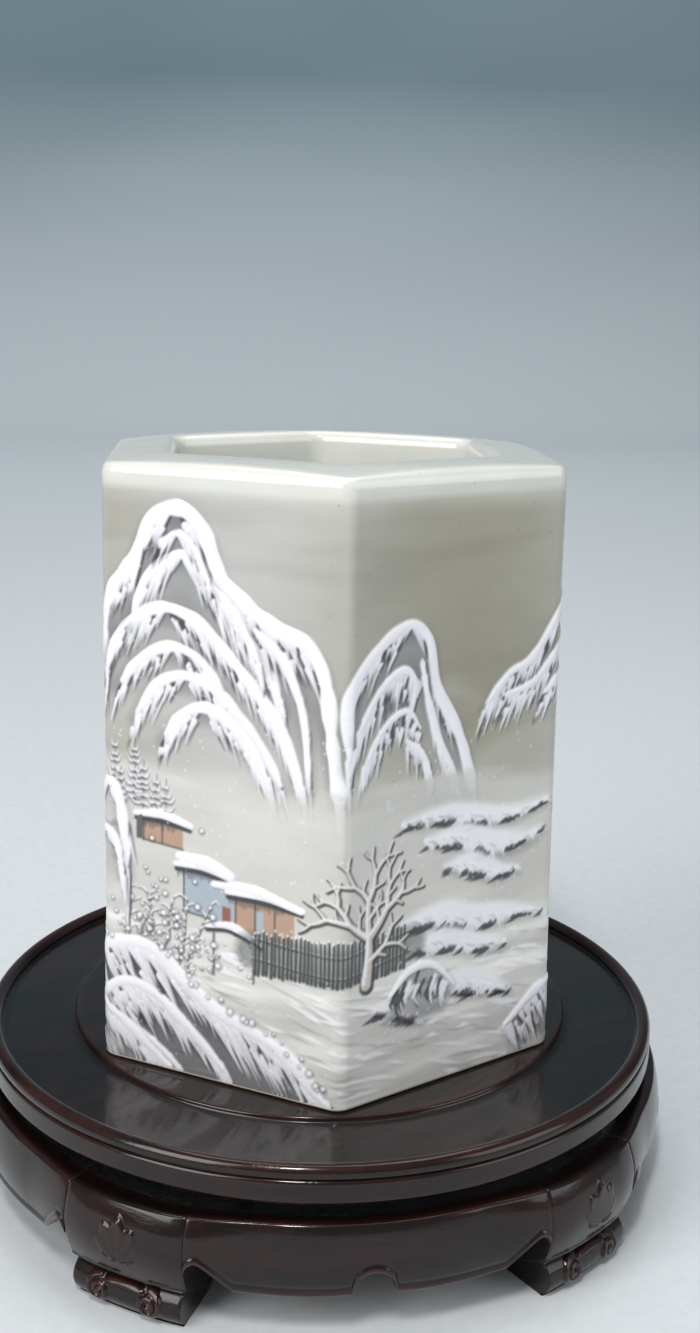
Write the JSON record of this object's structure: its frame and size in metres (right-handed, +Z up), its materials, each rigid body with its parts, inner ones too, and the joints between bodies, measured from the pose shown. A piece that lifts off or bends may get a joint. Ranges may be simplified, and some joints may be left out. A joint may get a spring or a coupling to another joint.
{
  "type": "brush pot",
  "caption": "Six-sided porcelain brush pot with a painted snow landscape, on a round carved wooden stand whose top turns.",
  "frame": {"origin": "on the floor, at the centre line of the stand and the pot", "axes": "+Z up along the turning axis, -Y towards the pot's front corner, +X to the right"},
  "size_m": [0.1639, 0.1632, 0.165],
  "materials": {
    "porcelain": "glossy",
    "lacquered_wood": "glossy lacquer",
    "inner_wood": "matte",
    "zinc_steel": "satin",
    "screw_steel": "satin",
    "ball_steel": "polished",
    "cage_brass": "satin"
  },
  "bodies": {
    "base": {"base_deck": "inner_wood", "apron_1": "lacquered_wood", "apron_2": "lacquered_wood", "apron_3": "lacquered_wood", "apron_4": "lacquered_wood", "apron_5": "lacquered_wood", "leg_1": "lacquered_wood", "leg_2": "lacquered_wood", "leg_3": "lacquered_wood", "leg_4": "lacquered_wood", "leg_5": "lacquered_wood", "leg_dowels": "inner_wood", "bearing_outer_ring": "zinc_steel", "outer_ring_screws": "screw_steel"},
    "turntable": {"turntable_disc": "lacquered_wood", "bearing_inner_ring": "zinc_steel", "inner_ring_screws": "screw_steel"},
    "ball_set": {"bearing_balls": "ball_steel", "ball_cage": "cage_brass"},
    "pot": {"pot_body": "porcelain"}
  },
  "joints": [
    {"name": "turntable_spin", "type": "hinge", "parent": "base", "child": "turntable", "pos_m": [0, 0, 0.0225], "axis": [0, 0, 1], "continuous": true},
    {"name": "ball_set_spin", "type": "hinge", "parent": "base", "child": "ball_set", "pos_m": [0, 0, 0.0225], "axis": [0, 0, 1], "continuous": true},
    {"name": "pot_lift", "type": "slide", "parent": "turntable", "child": "pot", "axis": [0, 0, 1], "range_m": [0, 0.06]}
  ],
  "couplings": [
    {"joint": "ball_set_spin", "follows": "turntable_spin", "ratio": 0.5}
  ]
}
